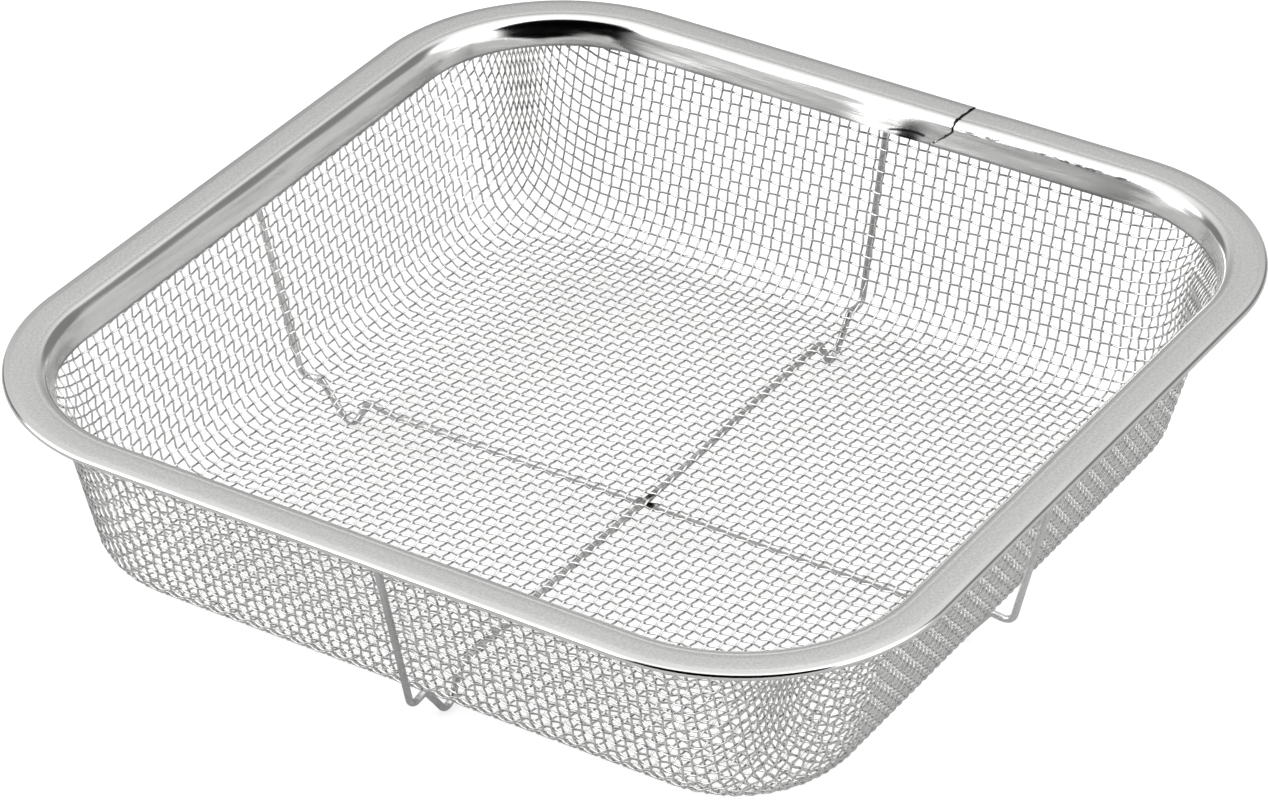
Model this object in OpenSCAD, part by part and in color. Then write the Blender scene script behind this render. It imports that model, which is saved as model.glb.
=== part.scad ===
// Square wire-mesh basket strainer with a folded sheet rim and two crossed support wires.
// Millimetres, +Z up. The origin is the middle of the footprint, on the plane of the wire feet.

/* [Overall] */
// Outside width of the square rim
rim_size = 210; // [180:1:240]
// Outside corner radius of the rim
rim_corner_r = 44.5; // [38:0.5:52]
// Height from the feet to the top of the rim
basket_h = 54.5; // [53.5:0.5:58]

/* [Rim band] */
// Thickness of the steel strip
strip_t = 0.5; // [0.4:0.05:0.6]
// Height of the folded outer edge
fold_h = 1.6; // [1.5:0.1:2]
// Distance from the outer edge to where the flat top starts to turn down
flat_w = 6.7; // [6.2:0.1:7.4]
// Radius of the turn from the flat top into the skirt
turn_r = 2.7; // [2.3:0.1:3]
// Angle of the skirt below horizontal
skirt_angle = 65; // [62:1:70]
// Depth of the skirt's lower edge below the top of the rim
skirt_depth = 5.9; // [5.7:0.1:6.8]
// Width of the butt joint where the two ends of the strip meet
joint_gap = 0.35; // [0.2:0.05:0.6]
// Distance of the butt joint from the middle of the rear side
joint_x = 16.8; // [10:0.5:40]
// Slant of the butt joint across the strip
joint_slant = 6; // [0:1:15]

/* [Mesh bowl] */
// Thickness of the woven cloth, which is two wires
cloth_t = 1; // [0.75:0.25:1.25]
// Depth of the cloth's floor below the top of the rim
bowl_depth = 45.75; // [43:0.25:46.5]
// Lean of the bowl's walls from vertical
wall_lean = 13.5; // [13:0.25:16]
// Radius of the bend from the walls to the floor
floor_bend_r = 11; // [9:0.5:14]

/* [Support wires] */
// Diameter of the support wires
wire_d = 1.5; // [1.2:0.1:1.6]
// Inset of each foot from the outer edge of the rim
foot_inset = 30.4; // [28:0.2:32]
// Radius of the bend under each foot
foot_bend_r = 2.4; // [1.8:0.1:2.6]

/* [Hidden] */

STEEL = [0.78, 0.78, 0.77];
CLOTH = [0.66, 0.67, 0.68];
WIRE = [0.58, 0.58, 0.58];
CUT = 1;                     // how far a cutter runs past the solid
FINE = 96;
TURN_STEPS = 7;
FOLD_STEPS = 10;
LOWER_STEPS = 4;
CLOTH_STEPS = 10;

// Plan: the rounded square is swept round four corner axes.
half = rim_size / 2;
corner_at = half - rim_corner_r;

// A profile point is [inset from the rim's outer edge, depth below the rim's top].
cloth_clearance = 0.05;
fold_r = fold_h / 2;
fold_line_r = fold_r - strip_t / 2;
turn_line_r = turn_r - strip_t / 2;
lower_turn_r = 1;
lower_trim = 0.4;            // the lower leaf ends this much higher than the skirt
joint_inset = 11;            // the joint's middle, from the outer edge
joint_reach = 30;            // length of the joint's cutter across the strip
along_skirt = [cos(skirt_angle), sin(skirt_angle)];
off_skirt = [-sin(skirt_angle), cos(skirt_angle)];

// Middle line of the skirt, the cloth in the hem and the lower leaf, all parallel.
turn_end = [flat_w, turn_r] + turn_line_r * [sin(skirt_angle), -cos(skirt_angle)];
skirt_end = at_depth(turn_end, along_skirt, skirt_depth);
hem_cloth = skirt_end + (strip_t / 2 + cloth_clearance + cloth_t / 2) * off_skirt;
lower_leaf = skirt_end + (strip_t + 2 * cloth_clearance + cloth_t) * off_skirt;

// Cloth: hem, wall and floor.
hem_overlap = 3;
along_wall = [sin(wall_lean), cos(wall_lean)];
wall_corner = at_depth(hem_cloth, along_wall, bowl_depth);

// Support wires, as [distance from the middle, height above the feet].
wire_r = wire_d / 2;
wire_sides = 12;
bend_step = 12;              // degrees of bend between two rings of a wire
weld_clearance = 0.02;
wire_top_depth = 4.2;
rim_bend_gap = 0.3;
upper_floor_z = basket_h - bowl_depth - cloth_t / 2 - wire_r;
lower_floor_z = upper_floor_z - wire_d;
wall_bottom = [half - 18, upper_floor_z + 0.7];
ledge_end = [half - 23, upper_floor_z + 1.4];
foot_centre = [half - foot_inset, wire_r + foot_bend_r];
foot_top = [half - foot_inset - 5.2, upper_floor_z - 0.1];
settle_x = half - 43;
BEND_RADII = [0, 4, 2.5, 1.2, foot_bend_r, 1.5, 6];

// Point on a line from "from" along "dir" where its depth is "depth".
function at_depth(from, dir, depth) = from + dir * ((depth - from[1]) / dir[1]);
// Points along an arc round "centre", from angle a to angle b.
function arc(centre, r, a, b, steps) =
    [for (i = [0 : steps]) centre + r * [cos(a + (b - a) * i / steps), sin(a + (b - a) * i / steps)]];
// Unit vector from p to q.
function towards(p, q) = (q - p) / norm(q - p);
// Unit normal at point i of a line.
function normal_at(line, i) =
    let (p = line[max(i - 1, 0)], q = line[min(i + 1, len(line) - 1)], d = towards(p, q))
    [-d[1], d[0]];
// Closed outline of a strip of thickness t whose middle follows a line.
function strip_outline(line, t) = concat(
    [for (i = [0 : len(line) - 1]) line[i] + t / 2 * normal_at(line, i)],
    [for (i = [len(line) - 1 : -1 : 0]) line[i] - t / 2 * normal_at(line, i)]);
// Distance from a corner to where its rounding starts.
function tangent_length(a, b, c, r) = r * tan(turn_angle(a, b, c) / 2);
function turn_angle(a, b, c) = acos(towards(a, b) * towards(b, c));
// +1 where the line a-b-c turns left, -1 where it turns right.
function turn_side(a, b, c) = sign(cross(towards(a, b), towards(b, c)));
function heading(d) = atan2(d[1], d[0]);

function rim_line() =
    let (flat_z = fold_h - strip_t / 2,
         lower_corner = at_depth(lower_leaf, along_skirt, flat_z),
         lower_start = lower_corner - [lower_turn_r * tan(skirt_angle / 2), 0])
    concat(
        [skirt_end],
        arc([flat_w, turn_r], turn_line_r, skirt_angle - 90, -90, TURN_STEPS),
        arc([fold_r, fold_r], fold_line_r, -90, -270, FOLD_STEPS),
        arc(lower_start + [0, lower_turn_r], lower_turn_r, -90, skirt_angle - 90, LOWER_STEPS),
        [at_depth(lower_leaf, along_skirt, skirt_depth - lower_trim)]);

function cloth_line() =
    let (bend_angle = 90 - wall_lean,
         bend_end = wall_corner + [floor_bend_r * tan(bend_angle / 2), 0],
         bend_centre = bend_end - [0, floor_bend_r])
    concat(
        [at_depth(hem_cloth, along_skirt, hem_cloth[1] - hem_overlap), hem_cloth],
        arc(bend_centre, floor_bend_r, 90 + bend_angle, 90, CLOTH_STEPS),
        [[rim_corner_r, bowl_depth]]);

// Direction from a circle's centre to where a line from point p touches it.
function touch(p, centre, r, side) =
    let (a = heading(p - centre) + side * acos(r / norm(p - centre)))
    [cos(a), sin(a)];
// Corner whose rounding is the foot's own circle.
function foot_corner() =
    let (outer = touch(ledge_end, foot_centre, foot_bend_r, -1),
         inner = touch(foot_top, foot_centre, foot_bend_r, 1))
    foot_centre + foot_bend_r * (outer + inner) / (1 + outer * inner);
function to_plane(p) = [half - p[0], basket_h - p[1]];
// One side of a support wire, from its welded top down to the floor run.
function wire_side(floor_z) =
    let (leaf_face = lower_leaf + (strip_t / 2 + wire_r + weld_clearance) * off_skirt,
         top = at_depth(leaf_face, along_skirt, wire_top_depth))
    [to_plane(top), to_plane(leaf_face + rim_bend_gap * along_skirt), wall_bottom, ledge_end,
     foot_corner(), foot_top, [settle_x, floor_z]];
function flipped(line) = [for (p = line) [-p[0], p[1]]];
function reversed(list) = [for (i = [len(list) - 1 : -1 : 0]) list[i]];

// Arc points that round the corner a-b-c with radius r.
function rounded(a, b, c, r) =
    let (d = towards(a, b),
         side = turn_side(a, b, c),
         start = b - tangent_length(a, b, c, r) * d,
         from = heading(d) - side * 90,
         sweep = turn_angle(a, b, c))
    arc(start + side * r * [-d[1], d[0]], r, from, from + side * sweep, 2 * ceil(sweep / (2 * bend_step)));
// Middle line of a bent wire, with every corner rounded.
function bent(line, radii) = concat(
    [line[0]],
    [for (i = [1 : len(line) - 2]) each rounded(line[i - 1], line[i], line[i + 1], radii[i])],
    [line[len(line) - 1]]);

// Sweeps a profile of [inset, depth] points round the rounded square.
module sweep_round(profile) {
    for (quarter = [0 : 3]) rotate(90 * quarter) {
        translate([corner_at, corner_at, basket_h])
            rotate_extrude(angle = 90, $fn = FINE)
                polygon([for (p = profile) [rim_corner_r - p[0], -p[1]]]);
        translate([0, corner_at, basket_h])
            rotate([90, 0, 90])
                linear_extrude(2 * corner_at, center = true)
                    polygon([for (p = profile) [rim_corner_r - p[0], -p[1]]]);
    }
}

module rim_band() {
    color(STEEL) difference() {
        sweep_round(strip_outline(rim_line(), strip_t));
        translate([joint_x, half - joint_inset, basket_h])
            rotate(-joint_slant)
                cube([joint_gap, joint_reach, 2 * skirt_depth + CUT], center = true);
    }
}

module mesh_bowl() {
    color(CLOTH) {
        sweep_round(strip_outline(cloth_line(), cloth_t));
        translate([0, 0, basket_h - bowl_depth])
            cube([2 * corner_at, 2 * corner_at, cloth_t], center = true);
    }
}

// A round wire whose middle follows a line in the XZ plane.
module wire_along(line) {
    n = wire_sides;
    points = [for (i = [0 : len(line) - 1]) let (up = normal_at(line, i))
        for (k = [0 : n - 1]) let (a = 360 * k / n)
            [line[i][0] + wire_r * cos(a) * up[0], wire_r * sin(a), line[i][1] + wire_r * cos(a) * up[1]]];
    last_ring = (len(line) - 1) * n;
    polyhedron(points, concat(
        [[for (k = [n - 1 : -1 : 0]) k], [for (k = [0 : n - 1]) last_ring + k]],
        [for (i = [0 : len(line) - 2], k = [0 : n - 1]) let (k2 = (k + 1) % n)
            [i * n + k, i * n + k2, (i + 1) * n + k2, (i + 1) * n + k]]));
}

module support_wire(floor_z) {
    side = wire_side(floor_z);
    corners = concat(flipped(side), reversed(side));
    color(WIRE) wire_along(bent(corners, concat(BEND_RADII, reversed(BEND_RADII))));
}

module upper_support_wire() {
    rotate(90) support_wire(upper_floor_z);
}

module lower_support_wire() {
    support_wire(lower_floor_z);
}

rim_band();
mesh_bowl();
upper_support_wire();
lower_support_wire();
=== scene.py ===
"""Square wire-mesh basket strainer: woven wire bowl, folded steel rim, two bent support wires."""

import math

import bmesh
import bpy
import numpy as np
from mathutils import Matrix, Vector


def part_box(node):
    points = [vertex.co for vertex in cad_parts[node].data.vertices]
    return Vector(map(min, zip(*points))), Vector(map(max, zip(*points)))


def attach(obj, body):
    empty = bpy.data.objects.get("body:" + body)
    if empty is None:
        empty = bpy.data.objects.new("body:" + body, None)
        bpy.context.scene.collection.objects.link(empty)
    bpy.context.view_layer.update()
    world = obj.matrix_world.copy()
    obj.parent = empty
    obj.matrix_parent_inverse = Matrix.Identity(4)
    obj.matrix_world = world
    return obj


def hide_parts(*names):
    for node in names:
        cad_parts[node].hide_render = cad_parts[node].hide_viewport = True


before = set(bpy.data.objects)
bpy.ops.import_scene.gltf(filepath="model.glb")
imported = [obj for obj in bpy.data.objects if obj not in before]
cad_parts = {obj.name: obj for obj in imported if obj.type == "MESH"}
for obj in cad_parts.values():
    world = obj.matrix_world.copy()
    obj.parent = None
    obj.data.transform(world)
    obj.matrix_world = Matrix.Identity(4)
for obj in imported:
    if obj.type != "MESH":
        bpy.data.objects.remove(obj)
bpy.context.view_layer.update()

MM = 0.001

# ---------------------------------------------------------------- sizes, in millimetres
rim_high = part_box("rim_band")[1]
HALF = rim_high.x / MM
TOP = rim_high.z / MM
CORNER_R = 44.5
CORNER_AT = HALF - CORNER_R

# Rim: a strip folded double round the edge of the cloth.
STRIP_T = 0.5
FOLD_H = 1.6
FLAT_W = 6.7
TURN_R = 2.7
SKIRT_DEG = 65
SKIRT_ANGLE = math.radians(SKIRT_DEG)
SKIRT_DEPTH = 5.9
LOWER_TRIM = 0.4
LOWER_TURN_R = 1.0
CLEARANCE = 0.05
JOINT_X = 17.95
JOINT_GAP = 0.4
JOINT_BEND = 14.0            # the strip's ends bend over this length to the slant of the cut

# At the corners the skirt curls under. The curl grows with the square of the distance down the strip.
CURL = 0.045
CURL_PAST = 3.1              # it starts this far past the start of the turn
CURL_SPAN = (48, 86)         # distance from the nearer middle line where it starts, and where it's full
CURL_SWING = 0.35            # how much it varies along a corner
CURL_EASE = 9                # below the skirt, the cloth is back in its own line within this depth

# Cloth. The space for it is as thick as two wires of 0.5 mm, and the wires drawn are a little thinner.
CLOTH_T = 1.0
MESH_WIRE_D = 0.46
MESH_WIRE_SIDES = 6
MESH_PITCH = 2.47
HEM_TOP = 4.6                # depth at which the wires end, inside the fold
NET_REACH = 60               # most wires on each side of the middle one
NET_TOP = -7.0               # the net is laid out to this depth, above the rim, and cut at the hem after
BOWL_DEPTH = 45.75
WALL_LEAN = math.radians(13.5)
FLOOR_BEND_R = 11.0
# The floor of the cloth sits a little off centre, towards -X and -Y.
BOWL_SHIFT = np.array([-0.9, -0.7])
SHORTEST_WIRE = 8            # points; a shorter stub is left out
PIECES_EACH_WAY = 4

# Support wires. Each lies a little off the middle line.
WIRE_D = 1.5
WIRE_R = WIRE_D / 2
WIRE_SIDES = 16
UPPER_OFFSET = 0.8
LOWER_OFFSET = -0.3
UPPER_Z = TOP - BOWL_DEPTH - CLOTH_T / 2 - WIRE_R
WELD_CLEARANCE = 0.02
WIRE_TOP_DEPTH = 4.2
RIM_BEND_GAP = 0.3
FOOT_R = 2.4
FOOT_INSET = 30.4
FOOT = np.array([HALF - FOOT_INSET, WIRE_R + FOOT_R])
BEND_RADII = [0, 4, 2.5, 1.2, FOOT_R, 1.5, 6]
LONGEST_STEP = 6             # straight stretches get points closer than twice this, so that they can sway

rng = np.random.default_rng(7)


# ---------------------------------------------------------------- small helpers
def new_object(name, mesh):
    obj = bpy.data.objects.new(name, mesh)
    bpy.context.scene.collection.objects.link(obj)
    return obj


def mesh_from(name, verts, faces, smooth=True):
    mesh = bpy.data.meshes.new(name)
    mesh.from_pydata([tuple(v) for v in verts], [], [tuple(int(i) for i in f) for f in faces])
    mesh.update()
    if smooth:
        mesh.shade_smooth()
    return mesh


def unit(v):
    return v / np.linalg.norm(v)


def arc(centre, r, a, b, steps):
    t = np.radians(np.linspace(a, b, steps + 1))
    return [np.array(centre) + r * np.array([math.cos(x), math.sin(x)]) for x in t]


# ---------------------------------------------------------------- rim and cloth profiles
# A profile point is [inset from the rim's outer edge, depth below the rim's top].
SKIRT_DIR = np.array([math.cos(SKIRT_ANGLE), math.sin(SKIRT_ANGLE)])
SKIRT_OFF = np.array([-math.sin(SKIRT_ANGLE), math.cos(SKIRT_ANGLE)])


def at_depth(start, direction, depth):
    return start + direction * ((depth - start[1]) / direction[1])


TURN_LINE_R = TURN_R - STRIP_T / 2
TURN_END = np.array([FLAT_W, TURN_R]) - TURN_LINE_R * SKIRT_OFF
SKIRT_END = at_depth(TURN_END, SKIRT_DIR, SKIRT_DEPTH)
HEM = SKIRT_END + (STRIP_T / 2 + CLEARANCE + CLOTH_T / 2) * SKIRT_OFF
LOWER_LEAF = SKIRT_END + (STRIP_T + 2 * CLEARANCE + CLOTH_T) * SKIRT_OFF


def midline_normals(line):
    pts = np.array(line)
    ahead = np.vstack([pts[1:], pts[-1:]])
    behind = np.vstack([pts[:1], pts[:-1]])
    d = ahead - behind
    d /= np.linalg.norm(d, axis=1)[:, None]
    return np.c_[-d[:, 1], d[:, 0]]


def strip_profile():
    """Closed outline of the folded strip: skirt, turn, flat top, bead, flat lower leaf, lower skirt leaf.
    Gives the outline's points, their normals, and how far each lies past the start of the turn, which is
    negative on the lower leaf."""
    fold_line_r = FOLD_H / 2 - STRIP_T / 2
    flat, flat_under = STRIP_T / 2, FOLD_H - STRIP_T / 2
    corner = at_depth(LOWER_LEAF, SKIRT_DIR, flat_under)
    start = corner - np.array([LOWER_TURN_R * math.tan(SKIRT_ANGLE / 2), 0])
    line = [at_depth(TURN_END, SKIRT_DIR, h) for h in np.linspace(SKIRT_DEPTH, TURN_END[1] + 0.4, 9)]
    line += arc([FLAT_W, TURN_R], TURN_LINE_R, SKIRT_DEG - 90, -90, 14)
    # A faint line that the rolls leave where the flat top starts to turn down.
    line += [np.array([u, flat + dip]) for u, dip in ((6.5, 0), (6.35, 0.035), (6.2, 0))]
    upper = len(line)
    line += [np.array([u, flat]) for u in (5.0, 3.4, 2.1)]
    # The bead: a crease where the flat top ends, a slope, then the round outer fold.
    line += [np.array([1.85, flat + 0.03]), np.array([1.3, flat + 0.12])]
    line += arc([FOLD_H / 2 - 0.05, FOLD_H / 2 + 0.05], fold_line_r - 0.05, -100, -270, 14)
    line += [np.array([u, flat_under]) for u in (2.4, 4.2)]
    line += arc(start + np.array([0, LOWER_TURN_R]), LOWER_TURN_R, -90, SKIRT_DEG - 90, 6)
    line += [at_depth(LOWER_LEAF, SKIRT_DIR, SKIRT_DEPTH - LOWER_TRIM)]
    line = np.array(line)
    past = np.zeros(len(line))
    steps = np.linalg.norm(np.diff(line[:upper], axis=0), axis=1)
    past[:upper] = np.r_[0, np.cumsum(steps)]
    past[:upper] = past[upper - 1] - past[:upper]
    past[-1] = (LOWER_LEAF[1] - line[-1][1]) / SKIRT_DIR[1] - past[0]
    n = midline_normals(line)
    outer = line + STRIP_T / 2 * n
    inner = line - STRIP_T / 2 * n
    return np.vstack([outer, inner[::-1]]), np.vstack([n, n[::-1]]), np.r_[past, past[::-1]]


def smooth(x, a, b):
    """0 below a, 1 above b, with a soft step between."""
    t = np.clip((x - a) / (b - a), 0.0, 1.0)
    return t * t * (3 - 2 * t)


# How far the skirt's lower edge lies past the start of the turn.
SKIRT_REACH = strip_profile()[2][0]


def curl_under(edge, past):
    """How far the skirt curls under at a corner. edge is the nearest point of the rim's outer edge."""
    cornering = smooth(np.min(np.abs(edge), axis=-1), *CURL_SPAN)
    return CURL * cornering * np.maximum(past - CURL_PAST, 0) ** 2


def roll_marks(along, past, at):
    """Waviness of the rolled turn and skirt, in mm along the sheet's normal. At a corner both leaves curl
    under. at is the point of the rim's outer edge, and along its distance from the joint."""
    drift = 1.9 * math.sin(along / 21.0 + 0.5) + 0.9 * math.sin(along / 7.3 + 1.0)
    depth = 0.038 * (0.65 + 0.35 * math.sin(along / 16.5 + 2.0))
    ripple = depth * np.sin(1.3 * past + drift) + 0.012 * np.sin(3.1 * past + along / 5.1)
    curl = (1 + CURL_SWING * math.sin(along / 6.3)) * curl_under(at, past)
    leaf_curl = (1 + CURL_SWING) * curl_under(at, -past)
    # Left of the joint the weld has pulled the skirt out, so it's less steep.
    pulled = smooth(along, 4.5, 12.5) * (1 - smooth(along, 16, 28))
    weld_pull = 0.12 * pulled * np.maximum(past - 2.8, 0)
    return ripple * np.clip((past - 1.2) / 2.0, 0, 1) - curl + weld_pull + leaf_curl


# ---------------------------------------------------------------- rim
def square_path(start_x, end_x, corner_steps, straight_steps):
    """Points and outward normals once round the rounded square, from the rear side's joint and back to it.
    Gives (corner axis point, outward direction) for each station."""
    stations = []

    def straight(a, b, n, steps, first):
        for k in range(0 if first else 1, steps + 1):
            stations.append((a + (b - a) * k / steps, n))

    def corner(c, from_deg, steps):
        for k in range(1, steps + 1):
            t = math.radians(from_deg + 90 * k / steps)
            stations.append((c, np.array([math.cos(t), math.sin(t)])))

    c = CORNER_AT
    straight(np.array([start_x, c]), np.array([-c, c]), np.array([0.0, 1.0]), straight_steps, True)
    corner(np.array([-c, c]), 90, corner_steps)
    straight(np.array([-c, c]), np.array([-c, -c]), np.array([-1.0, 0.0]), straight_steps, False)
    corner(np.array([-c, -c]), 180, corner_steps)
    straight(np.array([-c, -c]), np.array([c, -c]), np.array([0.0, -1.0]), straight_steps, False)
    corner(np.array([c, -c]), 270, corner_steps)
    straight(np.array([c, -c]), np.array([c, c]), np.array([1.0, 0.0]), straight_steps, False)
    corner(np.array([c, c]), 0, corner_steps)
    straight(np.array([c, c]), np.array([end_x, c]), np.array([0.0, 1.0]), straight_steps, False)
    return stations


def build_rim():
    profile, normals, past = strip_profile()
    ring = len(profile)
    u, h = profile[:, 0], profile[:, 1]
    # The cut runs straight over the flat top and slants off down the skirt; both edges are a little torn.
    slant = -0.077 * u - 1.25 * np.maximum(h - 2.1, 0)
    torn_left = 0.10 * np.sin(u * 2.3 + 0.4) + 0.06 * np.sin(u * 5.9 + h) + 0.3 * np.clip(h - 1.2, 0, 1)
    torn_right = 0.10 * np.sin(u * 1.9 + 2.0) + 0.07 * np.sin(u * 6.7 + 1.0 + h)
    stations = square_path(JOINT_X - JOINT_GAP / 2, JOINT_X + JOINT_GAP / 2, 40, 60)
    count = len(stations)
    along = 0.0
    last = None
    verts, strip = [], []
    for axis, n in stations:
        outer = axis + CORNER_R * n
        if last is not None:
            along += float(np.linalg.norm(outer - last))
        last = outer
        moved = profile + roll_marks(along, past, outer)[:, None] * normals
        near_left = max(0.0, 1 - along / JOINT_BEND)
        for j in range(ring):
            x, y = axis + (CORNER_R - moved[j, 0]) * n
            verts.append([x + (slant[j] + torn_left[j]) * near_left, y, TOP - moved[j, 1]])
            strip.append([along, u[j], h[j]])
    verts = np.array(verts).reshape(count, ring, 3)
    lengths = np.array(strip).reshape(count, ring, 3)[:, 0, 0]
    for k in range(count):
        near_right = max(0.0, 1 - (along - lengths[k]) / JOINT_BEND)
        if near_right > 0:
            verts[k, :, 0] += (slant + torn_right) * near_right
            # The right-hand end sits a little lower than the left-hand one.
            verts[k, :, 2] -= 0.22 * near_right ** 2
    verts = verts.reshape(-1, 3) * MM
    faces = []
    for k in range(count - 1):
        a, b = k * ring, (k + 1) * ring
        for j in range(ring):
            j2 = (j + 1) % ring
            faces.append((a + j, a + j2, b + j2, b + j))
    faces.append(tuple(range(ring - 1, -1, -1)))
    faces.append(tuple((count - 1) * ring + j for j in range(ring)))
    mesh = mesh_from("rim_strip", verts, faces)
    bm = bmesh.new()
    bm.from_mesh(mesh)
    caps = [f for f in bm.faces if len(f.verts) > 4]
    bmesh.ops.triangulate(bm, faces=caps)
    bmesh.ops.recalc_face_normals(bm, faces=bm.faces)
    bm.to_mesh(mesh)
    bm.free()
    mesh.set_sharp_from_angle(angle=math.radians(35))
    data = mesh.attributes.new("strip", "FLOAT_VECTOR", "POINT")
    data.data.foreach_set("vector", np.array(strip, np.float32).ravel())
    return new_object("rim_strip", mesh)


# ---------------------------------------------------------------- woven cloth
COS_L, SIN_L = math.cos(WALL_LEAN), math.sin(WALL_LEAN)
WALL_R0, WALL_H0 = CORNER_R - HEM[0], HEM[1]
BEND_H = BOWL_DEPTH - FLOOR_BEND_R
BEND_R = WALL_R0 - (FLOOR_BEND_R + (BEND_H - WALL_H0) * SIN_L) / COS_L


def bowl(x, y, h):
    """Signed distance from the middle surface of the cloth, positive outside, and its gradient."""
    f = min(max((h - WALL_H0) / (BOWL_DEPTH - WALL_H0), 0.0), 1.0)
    x -= f * BOWL_SHIFT[0]
    y -= f * BOWL_SHIFT[1]
    ax = max(abs(x) - CORNER_AT, 0.0)
    ay = max(abs(y) - CORNER_AT, 0.0)
    r = math.hypot(ax, ay)
    vr, vh = r - BEND_R, h - BEND_H
    angle = math.atan2(vh, vr)
    if WALL_LEAN <= angle <= math.pi / 2:
        d = math.hypot(vr, vh)
        value, gr, gh = d - FLOOR_BEND_R, vr / d, vh / d
    elif angle > math.pi / 2 or r < BEND_R:
        value, gr, gh = h - BOWL_DEPTH, 0.0, 1.0
    else:
        value, gr, gh = (r - WALL_R0) * COS_L + (h - WALL_H0) * SIN_L, COS_L, SIN_L
    if r < 1e-9:
        return value, 0.0, 0.0, 1.0 if gh > 0.5 else gh
    return value, gr * ax / r * math.copysign(1, x), gr * ay / r * math.copysign(1, y), gh


def solve3(a, b, c, v):
    """Solves the 3 by 3 system whose rows are a, b and c."""
    bc = (b[1] * c[2] - b[2] * c[1], b[2] * c[0] - b[0] * c[2], b[0] * c[1] - b[1] * c[0])
    ca = (c[1] * a[2] - c[2] * a[1], c[2] * a[0] - c[0] * a[2], c[0] * a[1] - c[1] * a[0])
    ab = (a[1] * b[2] - a[2] * b[1], a[2] * b[0] - a[0] * b[2], a[0] * b[1] - a[1] * b[0])
    det = a[0] * bc[0] + a[1] * bc[1] + a[2] * bc[2]
    if abs(det) < 1e-9:
        return None
    return tuple((v[0] * bc[i] + v[1] * ca[i] + v[2] * ab[i]) / det for i in range(3))


def net_node(guess, first, second, plane, pitch):
    """Point on the bowl at one pitch from first, and from second or on the plane (axis, value)."""
    p = list(guess)
    for _ in range(12):
        value, gx, gy, gh = bowl(*p)
        d1 = [p[i] - first[i] for i in range(3)]
        r1 = sum(c * c for c in d1) - pitch * pitch
        row1 = [2 * c for c in d1]
        if second is not None:
            d2 = [p[i] - second[i] for i in range(3)]
            r2 = sum(c * c for c in d2) - pitch * pitch
            row2 = [2 * c for c in d2]
        else:
            r2 = p[plane[0]] - plane[1]
            row2 = [1.0 if i == plane[0] else 0.0 for i in range(3)]
        step = solve3(row1, row2, (gx, gy, gh), (-r1, -r2, -value))
        if step is None:
            return None
        size = max(abs(c) for c in step)
        scale = min(1.0, 0.6 * pitch / size) if size > 0 else 1.0
        p = [p[i] + scale * step[i] for i in range(3)]
        if size < 1e-7:
            return tuple(p)
    return tuple(p) if abs(bowl(*p)[0]) < 1e-3 else None


def crossing(axis, k, line):
    """Key of crossing number k along an axis of the net, on line number line."""
    return (k, line) if axis == 0 else (line, k)


def drape_net():
    """Crossings of the wires of a square cloth laid over the bowl, keyed by (i, j)."""
    nodes = {(0, 0): (0.0, 0.0, BOWL_DEPTH)}
    for axis in (0, 1):
        for way in (1, -1):
            for k in range(1, NET_REACH + 1):
                a = nodes[crossing(axis, way * (k - 1), 0)]
                if k > 1:
                    b = nodes[crossing(axis, way * (k - 2), 0)]
                    guess = tuple(2 * a[i] - b[i] for i in range(3))
                else:
                    guess = tuple(a[i] + (way * MESH_PITCH if i == axis else 0) for i in range(3))
                p = net_node(guess, a, None, (1 - axis, 0.0), MESH_PITCH)
                if p is None or p[2] < NET_TOP:
                    break
                nodes[crossing(axis, way * k, 0)] = p
    for sx in (1, -1):
        for sy in (1, -1):
            for i in range(1, NET_REACH + 1):
                for j in range(1, NET_REACH + 1):
                    a = nodes.get((sx * (i - 1), sy * j))
                    b = nodes.get((sx * i, sy * (j - 1)))
                    c = nodes.get((sx * (i - 1), sy * (j - 1)))
                    if a is None or b is None or c is None:
                        continue
                    guess = tuple(a[k] + b[k] - c[k] for k in range(3))
                    p = net_node(guess, a, b, None, MESH_PITCH)
                    if p is None or p[2] < NET_TOP:
                        continue
                    # A cell folded flat on itself is no cell.
                    apart = sum((p[k] - c[k]) ** 2 for k in range(3))
                    if apart < (0.15 * MESH_PITCH) ** 2:
                        continue
                    nodes[(sx * i, sy * j)] = p
    return nodes


def bowl_many(p):
    """bowl() for an array of points."""
    flat = p.reshape(-1, 3)
    f = np.clip((flat[:, 2] - WALL_H0) / (BOWL_DEPTH - WALL_H0), 0, 1)
    x = flat[:, 0] - f * BOWL_SHIFT[0]
    y = flat[:, 1] - f * BOWL_SHIFT[1]
    h = flat[:, 2]
    ax = np.maximum(np.abs(x) - CORNER_AT, 0)
    ay = np.maximum(np.abs(y) - CORNER_AT, 0)
    r = np.hypot(ax, ay)
    vr, vh = r - BEND_R, h - BEND_H
    angle = np.arctan2(vh, vr)
    d = np.maximum(np.hypot(vr, vh), 1e-9)
    on_bend = (angle >= WALL_LEAN) & (angle <= math.pi / 2)
    on_floor = ~on_bend & ((angle > math.pi / 2) | (r < BEND_R))
    value = np.where(on_bend, d - FLOOR_BEND_R,
                     np.where(on_floor, h - BOWL_DEPTH, (r - WALL_R0) * COS_L + (h - WALL_H0) * SIN_L))
    gr = np.where(on_bend, vr / d, np.where(on_floor, 0, COS_L))
    gh = np.where(on_bend, vh / d, np.where(on_floor, 1, SIN_L))
    safe = np.maximum(r, 1e-9)
    grad = np.c_[gr * ax / safe * np.sign(x), gr * ay / safe * np.sign(y), gh]
    return value.reshape(p.shape[:-1]), grad.reshape(p.shape)


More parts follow.
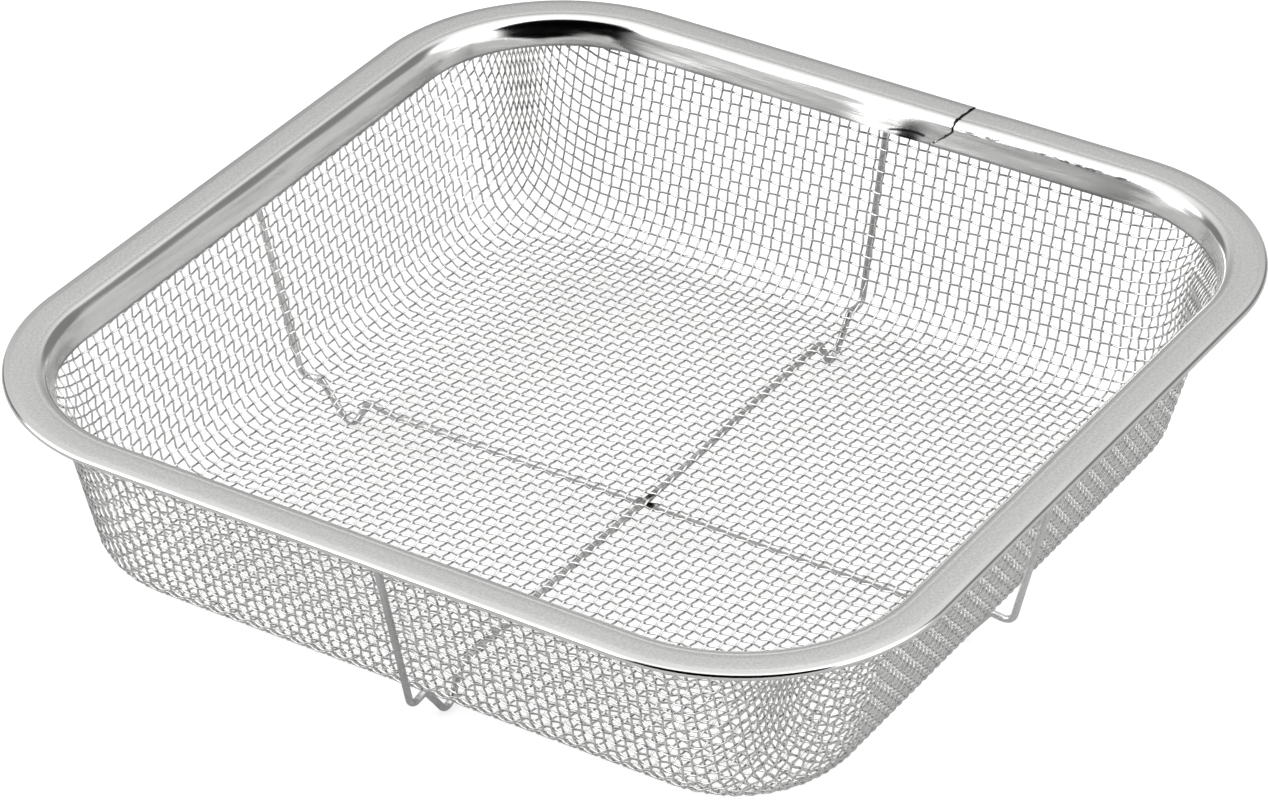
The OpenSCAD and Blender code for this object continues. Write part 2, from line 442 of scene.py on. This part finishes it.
def relax_net(nodes, reach, rounds=160, shear=0.05, step=0.2):
    """Lets the pressed cloth even out: wires keep their pitch, and cells resist being sheared."""
    size = 2 * reach + 1
    p = np.zeros((size, size, 3))
    there = np.zeros((size, size), bool)
    for (i, j), v in nodes.items():
        p[i + reach, j + reach] = v
        there[i + reach, j + reach] = True
    diagonal = MESH_PITCH * math.sqrt(2)
    links = [((1, 0), MESH_PITCH, 1.0), ((0, 1), MESH_PITCH, 1.0),
             ((1, 1), diagonal, shear), ((1, -1), diagonal, shear)]
    for _ in range(rounds):
        force = np.zeros_like(p)
        for (di, dj), rest, stiff in links:
            a = (slice(0, size - di), slice(0, size - dj) if dj >= 0 else slice(-dj, size))
            b = (slice(di, size), slice(dj, size) if dj >= 0 else slice(0, size + dj))
            both = there[a] & there[b]
            d = p[b] - p[a]
            length = np.maximum(np.linalg.norm(d, axis=-1), 1e-9)
            f = (stiff * (length - rest) / length * both)[..., None] * d
            force[a] += f
            force[b] -= f
        p += step * force
        # Back onto the bowl.
        for _ in range(2):
            value, grad = bowl_many(p)
            steepness = np.maximum((grad ** 2).sum(-1), 1e-9)[..., None]
            p -= np.where(there, value, 0)[..., None] * grad / steepness
    return {k: tuple(p[k[0] + reach, k[1] + reach]) for k in nodes}


def tucked(line):
    """A wire with its hem laid along the skirt: it curls under with the skirt, and eases back below it."""
    over = np.maximum(np.abs(line[:, :2]) - CORNER_AT, 0)
    out = over / np.maximum(np.linalg.norm(over, axis=1), 1e-9)[:, None]
    edge = np.minimum(np.abs(line[:, :2]), CORNER_AT) + CORNER_R * out
    above = np.maximum(HEM[1] - line[:, 2], 0)
    below = np.maximum(line[:, 2] - HEM[1], 0)
    push = (1 + CURL_SWING) * curl_under(edge, SKIRT_REACH - above / SKIRT_DIR[1])
    push *= 1 - smooth(below, 0, CURL_EASE)
    lean = above * (1 / math.tan(SKIRT_ANGLE) - math.tan(WALL_LEAN))
    moved = line.copy()
    moved[:, :2] += np.sign(line[:, :2]) * out * (lean - push * SKIRT_OFF[0])[:, None]
    moved[:, 2] += push * SKIRT_OFF[1]
    return moved


def woven_path(keys, nodes, side, cuts=4):
    """Crimped middle line of one wire through its crossings, with the cloth's normal at each point,
    and which way the wire leans there: 1 over a crossing wire, -1 under one."""
    pts = np.array([nodes[k] for k in keys])
    normals = np.array([unit(np.array(bowl(*p)[1:])) for p in pts])
    signs = np.array([1 if (k[0] + k[1]) % 2 == 0 else -1 for k in keys]) * side
    before = np.vstack([2 * pts[:1] - pts[1:2], pts[:-1]])
    after = np.vstack([pts[1:], 2 * pts[-1:] - pts[-2:-1]])
    tangent = (after - before) / 2
    line, ups, lean = [], [], []
    for k in range(len(pts) - 1):
        for c in range(cuts):
            t = c / cuts
            t2, t3 = t * t, t * t * t
            p = ((2 * t3 - 3 * t2 + 1) * pts[k] + (t3 - 2 * t2 + t) * tangent[k]
                 + (3 * t2 - 2 * t3) * pts[k + 1] + (t3 - t2) * tangent[k + 1])
            n = unit(normals[k] * (1 - t) + normals[k + 1] * t)
            lean.append(signs[k] * math.cos(math.pi * t))
            line.append(p + lean[-1] * MESH_WIRE_D / 2 * n)
            ups.append(n)
    lean.append(signs[-1])
    line.append(pts[-1] + lean[-1] * MESH_WIRE_D / 2 * normals[-1])
    ups.append(normals[-1])
    line, ups, lean = np.array(line), np.array(ups), np.array(lean)
    # The part of the wire that holds its deepest point, cut off at the hem.
    low = int(np.argmax(line[:, 2]))
    above = np.flatnonzero(line[:, 2] < HEM_TOP)
    first = max([k + 1 for k in above if k < low], default=0)
    last = min([k for k in above if k > low], default=len(line))
    return tucked(line[first:last]), ups[first:last], lean[first:last]


def tube(line, ups, radius, sides, lean=None):
    """Vertices and quads of a round wire along a line; closed ends. Last comes how deep each vertex sits
    in the crevice between two crossing wires, 0 to 1."""
    n = len(line)
    ahead = np.vstack([line[1:], line[-1:]])
    behind = np.vstack([line[:1], line[:-1]])
    t = ahead - behind
    t /= np.linalg.norm(t, axis=1)[:, None]
    b = np.cross(t, ups)
    b /= np.linalg.norm(b, axis=1)[:, None]
    u = np.cross(b, t)
    a = 2 * np.pi * np.arange(sides) / sides
    ring = (np.cos(a)[None, :, None] * u[:, None, :] + np.sin(a)[None, :, None] * b[:, None, :]) * radius
    verts = (line[:, None, :] + ring).reshape(-1, 3)
    k = np.arange(n - 1)[:, None] * sides
    s = np.arange(sides)[None, :]
    s2 = (s + 1) % sides
    quads = np.stack([k + s, k + s2, k + sides + s2, k + sides + s], -1).reshape(-1, 4)
    caps = [tuple(range(sides - 1, -1, -1)), tuple((n - 1) * sides + i for i in range(sides))]
    crevice = np.zeros(n) if lean is None else lean
    crevice = np.clip(-crevice[:, None] * np.cos(a)[None, :], 0, 1).ravel()
    return verts, quads, caps, crevice


def to_world(points):
    out = np.array(points, float)
    out[:, 2] = TOP - out[:, 2]
    return out * MM


def join_tubes(name, tubes):
    """One mesh from several wires. Each wire gets a tone of its own, and each vertex how deep it sits in a
    crevice.
    """
    verts = np.vstack([t[0] for t in tubes])
    loops, starts, totals, offset, cursor = [], [], [], 0, 0
    tones = []
    for v, quads, caps, _ in tubes:
        q = (quads + offset).astype(np.int32)
        loops.append(q.ravel())
        starts.append(cursor + 4 * np.arange(len(q)))
        totals.append(np.full(len(q), 4))
        cursor += 4 * len(q)
        for cap in caps:
            loops.append(np.array(cap, np.int32) + offset)
            starts.append(np.array([cursor]))
            totals.append(np.array([len(cap)]))
            cursor += len(cap)
        tones.append(np.full(len(v), rng.uniform(0.0, 1.0)))
        offset += len(v)
    mesh = bpy.data.meshes.new(name)
    mesh.vertices.add(len(verts))
    mesh.vertices.foreach_set("co", verts.astype(np.float32).ravel())
    loops = np.concatenate(loops)
    starts = np.concatenate(starts)
    totals = np.concatenate(totals)
    mesh.loops.add(len(loops))
    mesh.loops.foreach_set("vertex_index", loops)
    mesh.polygons.add(len(starts))
    mesh.polygons.foreach_set("loop_start", starts)
    mesh.polygons.foreach_set("loop_total", totals)
    mesh.update(calc_edges=True)
    mesh.validate()
    mesh.shade_smooth()
    tone = mesh.attributes.new("tone", "FLOAT", "POINT")
    tone.data.foreach_set("value", np.concatenate(tones).astype(np.float32))
    crevice = mesh.attributes.new("crevice", "FLOAT", "POINT")
    crevice.data.foreach_set("value", np.concatenate([t[3] for t in tubes]).astype(np.float32))
    return new_object(name, mesh)


def whole_wire(nodes, axis, line):
    """Keys of one wire's crossings, in order from end to end."""
    ends = []
    for way in (-1, 1):
        k = 0
        while crossing(axis, k + way, line) in nodes:
            k += way
        ends.append(k)
    return [crossing(axis, k, line) for k in range(ends[0], ends[1] + 1)]


def build_cloth():
    nodes = drape_net()
    reach = max(max(abs(k[0]), abs(k[1])) for k in nodes)
    nodes = relax_net(nodes, reach)
    pieces = []
    for axis, label, side in ((0, "weft", 1), (1, "warp", -1)):
        wires = []
        for number in range(-reach, reach + 1):
            if crossing(axis, 0, number) not in nodes:
                continue
            line, ups, lean = woven_path(whole_wire(nodes, axis, number), nodes, side)
            if len(line) < SHORTEST_WIRE:
                continue
            ups = ups * np.array([1, 1, -1])
            wires.append(tube(to_world(line), ups, MESH_WIRE_D / 2 * MM, MESH_WIRE_SIDES, lean))
        share = math.ceil(len(wires) / PIECES_EACH_WAY)
        for q in range(PIECES_EACH_WAY):
            part = wires[q * share:(q + 1) * share]
            pieces.append(join_tubes("mesh_%s_wires_%d" % (label, q + 1), part))
    return pieces


# ---------------------------------------------------------------- support wires
def heading(v):
    return math.atan2(v[1], v[0])


def touch(p, side):
    """Direction from the foot's centre to where a line from p touches the foot's circle."""
    a = heading(p - FOOT) + side * math.acos(FOOT_R / np.linalg.norm(p - FOOT))
    return np.array([math.cos(a), math.sin(a)])


def wire_corners(floor_z):
    """Corners of one side of a support wire, from its weld at the rim to its floor run, as [distance from
    the middle, height]."""
    leaf = LOWER_LEAF + (STRIP_T / 2 + WIRE_R + WELD_CLEARANCE) * SKIRT_OFF
    top = at_depth(leaf, SKIRT_DIR, WIRE_TOP_DEPTH)
    low = leaf + RIM_BEND_GAP * SKIRT_DIR
    ledge_out = np.array([HALF - 18, UPPER_Z + 0.7])
    ledge_in = np.array([HALF - 23, UPPER_Z + 1.4])
    foot_top = np.array([HALF - FOOT_INSET - 5.2, UPPER_Z - 0.1])
    settled = np.array([HALF - 43, floor_z])
    outer, inner = touch(ledge_in, -1), touch(foot_top, 1)
    foot = FOOT + FOOT_R * (outer + inner) / (1 + outer @ inner)
    at_rim = [np.array([HALF - p[0], TOP - p[1]]) for p in (top, low)]
    return at_rim + [ledge_out, ledge_in, foot, foot_top, settled]


def rounded(a, b, c, r, steps=8):
    """Arc points that round the corner a-b-c with radius r."""
    d1, d2 = unit(b - a), unit(c - b)
    turn = math.acos(max(-1, min(1, d1 @ d2)))
    if turn < 1e-4:
        return [b]
    side = math.copysign(1, d1[0] * d2[1] - d1[1] * d2[0])
    start = b - r * math.tan(turn / 2) * d1
    centre = start + side * r * np.array([-d1[1], d1[0]])
    first = heading(d1) - side * math.pi / 2
    angles = [first + side * turn * i / steps for i in range(steps + 1)]
    return [centre + r * np.array([math.cos(t), math.sin(t)]) for t in angles]


def subdivided(line):
    """The same line with more points on its straight stretches."""
    fine = [line[0]]
    for p in line[1:]:
        steps = max(1, int(np.linalg.norm(p - fine[-1]) // LONGEST_STEP))
        for left in range(steps, 0, -1):
            fine.append(fine[-1] + (p - fine[-1]) * (1 / left))
    return np.array(fine)


def build_support(name, floor_z, along_y, offset):
    side = wire_corners(floor_z)
    corners = [np.array([-p[0], p[1]]) for p in side] + side[::-1]
    radii = BEND_RADII + BEND_RADII[::-1]
    line = [corners[0]]
    for i in range(1, len(corners) - 1):
        line += rounded(corners[i - 1], corners[i], corners[i + 1], radii[i])
    line.append(corners[-1])
    line = subdivided(line)
    # Soft unevenness of a hand-bent wire, sideways only, which dies out towards the rim.
    s = line[:, 0]
    sway = 0.25 * np.sin(s * 0.045 + 0.8) + 0.10 * np.sin(s * 0.13)
    sway *= np.clip((HALF - 10 - np.abs(s)) / 30, 0, 1)
    if along_y:
        pts = np.c_[sway + offset, s, line[:, 1]]
        ups = np.tile([1.0, 0.0, 0.0], (len(pts), 1))
    else:
        pts = np.c_[s, sway + offset, line[:, 1]]
        ups = np.tile([0.0, 1.0, 0.0], (len(pts), 1))
    return join_tubes(name, [tube(pts * MM, ups, WIRE_R * MM, WIRE_SIDES)])


# ---------------------------------------------------------------- materials
def grey(v):
    return (v, v, v)


def steel(name, colour, roughness, build, *tones):
    """A metal whose nodes are made by build, which gets the tones too."""
    mat = bpy.data.materials.new(name)
    mat.use_nodes = True
    nt = mat.node_tree
    bsdf = nt.nodes["Principled BSDF"]
    bsdf.inputs["Metallic"].default_value = 1.0
    bsdf.inputs["Base Color"].default_value = (*colour, 1)
    bsdf.inputs["Roughness"].default_value = roughness
    build(nt, bsdf, *tones)
    return mat


def attribute(nt, name, output):
    node = nt.nodes.new("ShaderNodeAttribute")
    node.attribute_name = name
    return node.outputs[output]


def scaled(nt, vector, scale):
    node = nt.nodes.new("ShaderNodeVectorMath")
    node.operation = "MULTIPLY"
    nt.links.new(vector, node.inputs[0])
    node.inputs[1].default_value = scale
    return node.outputs[0]


def noise(nt, vector, scale, detail=3, rough=0.5):
    node = nt.nodes.new("ShaderNodeTexNoise")
    node.inputs["Scale"].default_value = scale
    node.inputs["Detail"].default_value = detail
    node.inputs["Roughness"].default_value = rough
    nt.links.new(vector, node.inputs["Vector"])
    return node.outputs["Fac"]


def remap(nt, value, a, b, c, d):
    node = nt.nodes.new("ShaderNodeMapRange")
    for key, number in zip(("From Min", "From Max", "To Min", "To Max"), (a, b, c, d)):
        node.inputs[key].default_value = number
    nt.links.new(value, node.inputs["Value"])
    return node.outputs["Result"]


def mix_colour(nt, fac, a, b):
    node = nt.nodes.new("ShaderNodeMix")
    node.data_type = "RGBA"
    nt.links.new(fac, node.inputs["Factor"])
    node.clamp_factor = True
    for key, c in (("A", a), ("B", b)):
        socket = [s for s in node.inputs if s.name == key and s.type == "RGBA"][0]
        if isinstance(c, tuple):
            socket.default_value = (*c, 1)
        else:
            nt.links.new(c, socket)
    return [s for s in node.outputs if s.type == "RGBA"][0]


def bump(nt, bsdf, height, strength, distance):
    node = nt.nodes.new("ShaderNodeBump")
    node.inputs["Strength"].default_value = strength
    node.inputs["Distance"].default_value = distance
    nt.links.new(height, node.inputs["Height"])
    nt.links.new(node.outputs["Normal"], bsdf.inputs["Normal"])


def calc(nt, operation, a, b):
    node = nt.nodes.new("ShaderNodeMath")
    node.operation = operation
    for socket, v in zip(node.inputs, (a, b)):
        if isinstance(v, (int, float)):
            socket.default_value = v
        else:
            nt.links.new(v, socket)
    return node.outputs[0]


def band(nt, value, a, b, c, d):
    """0 up to a, 1 from b to c, 0 from d on."""
    return calc(nt, "MULTIPLY", remap(nt, value, a, b, 0, 1), remap(nt, value, c, d, 1, 0))


def blend(nt, fac, a, b):
    """a where fac is 0, b where it is 1, for single values."""
    node = nt.nodes.new("ShaderNodeMix")
    nt.links.new(fac, node.inputs[0])
    for socket, v in ((node.inputs[2], a), (node.inputs[3], b)):
        if isinstance(v, (int, float)):
            socket.default_value = v
        else:
            nt.links.new(v, socket)
    return node.outputs[0]


def patch(nt, along, across, along_stops, across_stops):
    """1 in a soft-edged patch of the rim's strip, from a band along it and one across it, in mm."""
    return calc(nt, "MULTIPLY", band(nt, across, *across_stops), band(nt, along, *along_stops))


def rim_dark_marks(nt, strip, along, across):
    """A broken dark line at the foot of the turn, right of the joint, a curved gouge left of it, and the
    burnt edges of the joint itself. The skirt's lower edge, where it meets the cloth, is painted darker all
    round."""
    broken = remap(nt, noise(nt, scaled(nt, strip, (0.35, 1.5, 1.5)), 1.0, 4, 0.65), 0.47, 0.56, 0, 1)
    foot_of_turn = patch(nt, along, across, (712, 724, 762, 763), (8.55, 8.85, 8.95, 9.25))
    sideways = calc(nt, "SUBTRACT", along, 7.5)
    bow = calc(nt, "MULTIPLY", calc(nt, "MULTIPLY", sideways, sideways), 0.0075)
    gouge = patch(nt, along, calc(nt, "SUBTRACT", across, bow),
                  (3.6, 4.6, 14.5, 16.0), (10.22, 10.32, 10.45, 10.55))
    # The corners of the mesh are polygons, 0.02 mm shorter in all than their arcs.
    end = 8 * CORNER_AT + 2 * math.pi * CORNER_R - JOINT_GAP - 0.02
    burnt = calc(nt, "MAXIMUM", remap(nt, along, 0.04, 0.20, 1, 0),
                 remap(nt, along, end - 0.20, end - 0.04, 0, 1))
    lower_edge = calc(nt, "MULTIPLY", remap(nt, across, 10.82, 11.0, 0, 1), 0.55)
    dark_mark = calc(nt, "MULTIPLY", broken, foot_of_turn)
    for mark in (gouge, burnt, lower_edge):
        dark_mark = calc(nt, "MAXIMUM", dark_mark, mark)
    return dark_mark


def rim_nodes(nt, bsdf):
    """Sheet steel, from the strip attribute: distance from the joint, inset and depth, in mm."""
    strip = attribute(nt, "strip", "Vector")
    parts = nt.nodes.new("ShaderNodeSeparateXYZ")
    nt.links.new(strip, parts.inputs[0])
    along, across = parts.outputs["X"], parts.outputs["Y"]
    streaks = noise(nt, scaled(nt, strip, (0.035, 3.2, 3.2)), 1.0, 4, 0.6)
    grain = noise(nt, scaled(nt, strip, (3.0, 3.4, 3.4)), 1.0, 3, 0.65)
    cloud = noise(nt, scaled(nt, strip, (0.05, 0.25, 0.25)), 1.0, 3, 0.5)
    # The flat top is ground to a satin finish, which scatters light widely. The turn keeps more of the
    # sheet's gloss, and the skirt a little less, except in the rear left corner.
    satin = band(nt, across, 1.3, 1.9, 6.4, 7.6)
    skirt = calc(nt, "MULTIPLY", remap(nt, across, 8.8, 9.8, 0, 1),
                 calc(nt, "SUBTRACT", 1.0, band(nt, along, 80, 88, 132, 150)))
    glossy = mix_colour(nt, remap(nt, cloud, 0.3, 0.7, 0, 1), (0.80, 0.80, 0.79), (0.87, 0.87, 0.86))
    speckle = noise(nt, scaled(nt, strip, (1.5, 1.7, 1.7)), 1.0, 3, 0.7)
    ground = mix_colour(nt, remap(nt, speckle, 0.35, 0.65, 0, 1), (0.60, 0.60, 0.59), (0.78, 0.78, 0.77))
    colour = mix_colour(nt, satin, glossy, ground)
    colour = mix_colour(nt, rim_dark_marks(nt, strip, along, across), colour, grey(0.10))
    nt.links.new(colour, bsdf.inputs["Base Color"])
    nt.links.new(blend(nt, satin, 1.0, 0.70), bsdf.inputs["Metallic"])
    turn_gloss = remap(nt, streaks, 0.25, 0.75, 0.07, 0.15)
    skirt_gloss = remap(nt, streaks, 0.25, 0.75, 0.13, 0.24)
    nt.links.new(blend(nt, satin, blend(nt, skirt, turn_gloss, skirt_gloss), 0.27), bsdf.inputs["Roughness"])
    # Fine grain all over, and drawing lines along the skirt.
    drawn = noise(nt, scaled(nt, strip, (0.09, 2.6, 2.6)), 1.0, 5, 0.65)
    lines = calc(nt, "MULTIPLY", drawn, blend(nt, skirt, remap(nt, across, 7.4, 9.4, 0, 0.8), 3.0))
    bump(nt, bsdf, calc(nt, "ADD", grain, lines), 0.22, 0.00004)


def mesh_nodes(nt, bsdf):
    """Bright drawn wire, each a tone of its own."""
    tone = attribute(nt, "tone", "Fac")
    place = nt.nodes.new("ShaderNodeTexCoord").outputs["Object"]
    spots = noise(nt, place, 900.0, 2, 0.5)
    colour = mix_colour(nt, tone, (0.73, 0.73, 0.72), (0.83, 0.83, 0.82))
    # Painted shade in the crevices where two wires cross: the side of each wire that faces the wire crossing
    # it is darkened.
    crevice = remap(nt, attribute(nt, "crevice", "Fac"), 0.30, 0.90, 0, 1)
    colour = mix_colour(nt, crevice, colour, grey(0.35))
    nt.links.new(colour, bsdf.inputs["Base Color"])
    nt.links.new(remap(nt, spots, 0.3, 0.7, 0.03, 0.09), bsdf.inputs["Roughness"])
    bump(nt, bsdf, noise(nt, place, 5200.0, 1, 0.5), 0.06, 0.00001)


def near(nt, place, spot, reach):
    """1 at a spot, falling to 0 at a distance from it, in metres."""
    gap = nt.nodes.new("ShaderNodeVectorMath")
    gap.operation = "DISTANCE"
    nt.links.new(place, gap.inputs[0])
    gap.inputs[1].default_value = spot
    return remap(nt, gap.outputs["Value"], 0, reach, 1, 0)


def support_nodes(nt, bsdf, dark, light):
    """Dull drawn wire, from a dark to a light grey."""
    place = nt.nodes.new("ShaderNodeTexCoord").outputs["Object"]
    drawn = noise(nt, place, 1500.0, 3, 0.6)
    cloud = noise(nt, place, 90.0, 3, 0.5)
    colour = mix_colour(nt, remap(nt, cloud, 0.35, 0.65, 0, 1), grey(dark), grey(light))
    # Heat tint of the welds, where the wires cross.
    weld = (UPPER_OFFSET * MM, LOWER_OFFSET * MM, (UPPER_Z - WIRE_R) * MM)
    burnt = calc(nt, "MULTIPLY", near(nt, place, weld, 0.0032), 1.8)
    colour = mix_colour(nt, burnt, colour, (0.06, 0.055, 0.05))
    nt.links.new(colour, bsdf.inputs["Base Color"])
    nt.links.new(remap(nt, drawn, 0.3, 0.7, 0.24, 0.36), bsdf.inputs["Roughness"])
    bump(nt, bsdf, drawn, 0.12, 0.00002)


RIM_STEEL = steel("rim_steel", (0.83, 0.83, 0.82), 0.18, rim_nodes)
MESH_STEEL = steel("mesh_steel", (0.84, 0.84, 0.83), 0.22, mesh_nodes)
# Both support wires are the same drawn steel: the upper one's greys are painted shade and the lower one's
# painted light, for how each catches the light.
UPPER_STEEL = steel("upper_support_steel", grey(0.66), 0.3, support_nodes, 0.60, 0.72)
LOWER_STEEL = steel("lower_support_steel", grey(0.84), 0.3, support_nodes, 0.80, 0.90)


# ---------------------------------------------------------------- the object
def fit(piece, metal, node):
    """Gives a piece its steel, hides the CAD node it replaces, and hangs it on the root body."""
    piece.data.materials.append(metal)
    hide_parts(node)
    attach(piece, "root")


fit(build_rim(), RIM_STEEL, "rim_band")
for piece in build_cloth():
    fit(piece, MESH_STEEL, "mesh_bowl")
fit(build_support("upper_support", UPPER_Z, True, UPPER_OFFSET),
    UPPER_STEEL, "upper_support_wire")
fit(build_support("lower_support", UPPER_Z - WIRE_D, False, LOWER_OFFSET),
    LOWER_STEEL, "lower_support_wire")


# ---------------------------------------------------------------- floor, light and camera
FLOOR_HALF = 6.0
FLOOR_GREY = 0.55
FLOOR_GLOW = 0.63


def build_floor():
    corners = [(x * FLOOR_HALF, y * FLOOR_HALF, 0) for x, y in ((-1, -1), (1, -1), (1, 1), (-1, 1))]
    mesh = mesh_from("floor", corners, [(0, 1, 2, 3)], smooth=False)
    floor = new_object("floor", mesh)
    mat = bpy.data.materials.new("floor_white")
    mat.use_nodes = True
    nt = mat.node_tree
    bsdf = nt.nodes["Principled BSDF"]
    bsdf.inputs["Base Color"].default_value = (*grey(FLOOR_GREY), 1)
    bsdf.inputs["Roughness"].default_value = 0.9
    bsdf.inputs["Specular IOR Level"].default_value = 0.0
    bsdf.inputs["Emission Color"].default_value = (1, 1, 1, 1)
    # Overexposed to white as the camera sees it; what the steel mirrors is the plain pale floor.
    seen = nt.nodes.new("ShaderNodeLightPath").outputs["Is Camera Ray"]
    nt.links.new(calc(nt, "MULTIPLY", seen, FLOOR_GLOW), bsdf.inputs["Emission Strength"])
    floor.data.materials.append(mat)


def lobe(nt, direction, centre, inner, outer):
    """1 inside a soft-edged round patch of the surroundings, 0 outside. Angles are from its centre, in
    degrees."""
    dot = nt.nodes.new("ShaderNodeVectorMath")
    dot.operation = "DOT_PRODUCT"
    nt.links.new(direction, dot.inputs[0])
    dot.inputs[1].default_value = Vector(centre).normalized()
    return remap(nt, dot.outputs["Value"], math.cos(math.radians(outer)), math.cos(math.radians(inner)), 0, 1)


def round_the_table(azimuth, height):
    """Direction from its azimuth, anticlockwise from +X, and its height above the horizon, in degrees."""
    a, e = math.radians(azimuth), math.radians(height)
    return math.cos(a) * math.cos(e), math.sin(a) * math.cos(e), math.sin(e)


def build_world():
    """A white light tent: bright above, soft boxes on the left and right, open on the camera's side."""
    world = bpy.data.worlds.new("studio")
    bpy.context.scene.world = world
    world.use_nodes = True
    nt = world.node_tree
    background = nt.nodes["Background"]
    direction = nt.nodes.new("ShaderNodeTexCoord").outputs["Generated"]
    split = nt.nodes.new("ShaderNodeSeparateXYZ")
    nt.links.new(direction, split.inputs[0])
    ramp = nt.nodes.new("ShaderNodeValToRGB")
    stops = ((0.0, 0.54), (0.26, 0.70), (0.57, 0.70), (0.87, 1.15), (1.0, 1.15))
    while len(ramp.color_ramp.elements) < len(stops):
        ramp.color_ramp.elements.new(0.5)
    for element, (at, v) in zip(ramp.color_ramp.elements, stops):
        element.position = at
        element.color = (*grey(v), 1)
    nt.links.new(split.outputs["Z"], ramp.inputs["Fac"])
    colour = ramp.outputs["Color"]
    for azimuth, height, inner, outer, value in (
            (73, 27, 20, 31, 0.24),     # gap at the back of the tent
            (172, 13, 14, 24, 0.22),    # gap on the left
            (123, 12, 14, 25, 0.42),    # dull stretch of the tent at the back left
            (243, -6, 10, 19, 0.15),    # foot of the open side
            (213, 33, 22, 27, 3.4),     # soft box on the left
            (-3, 41, 25, 42, 2.6),      # soft box on the right
            (296, 28, 43, 50, 0.0)      # the open, dark side
    ):
        inside = lobe(nt, direction, round_the_table(azimuth, height), inner, outer)
        colour = mix_colour(nt, inside, colour, grey(value))
    nt.links.new(colour, background.inputs["Color"])
    background.inputs["Strength"].default_value = 1.0


def build_lights():
    light = bpy.data.lights.new("overhead", "AREA")
    light.shape = "RECTANGLE"
    light.size, light.size_y = 1.4, 1.0
    light.energy = 0.8
    obj = bpy.data.objects.new("overhead", light)
    obj.location = (-0.1, 0.15, 1.3)
    direction = Vector((0, 0, 0.03)) - obj.location
    obj.rotation_euler = direction.to_track_quat("-Z", "Y").to_euler()
    bpy.context.scene.collection.objects.link(obj)


# The camera's direction and roll as seen from the object, the point it aims at, on the rim's plane, and
# its distance from that point.
CAM_AZ, CAM_EL, CAM_ROLL = math.radians(32.865), math.radians(33.101), math.radians(-0.703)
AIM = Vector((17.47, -30.98, TOP)) * MM
CAM_DISTANCE = 1.0695
CAM_LENS = 154.19


def build_camera():
    level = math.cos(CAM_EL)
    back = Vector((math.sin(CAM_AZ) * level, -math.cos(CAM_AZ) * level, math.sin(CAM_EL)))
    right = Vector((math.cos(CAM_AZ), math.sin(CAM_AZ), 0))
    up = back.cross(right)
    rolled_right = math.cos(CAM_ROLL) * right + math.sin(CAM_ROLL) * up
    rolled_up = -math.sin(CAM_ROLL) * right + math.cos(CAM_ROLL) * up
    place = AIM + back * CAM_DISTANCE
    data = bpy.data.cameras.new("camera")
    data.sensor_width = 36.0
    data.lens = CAM_LENS
    data.clip_end = 50
    camera = bpy.data.objects.new("camera", data)
    columns = (rolled_right, rolled_up, back, place)
    camera.matrix_world = Matrix((*([c[row] for c in columns] for row in range(3)), (0, 0, 0, 1)))
    bpy.context.scene.collection.objects.link(camera)
    bpy.context.scene.camera = camera


build_floor()
build_world()
build_lights()
build_camera()
bpy.context.scene.view_settings.view_transform = "Standard"
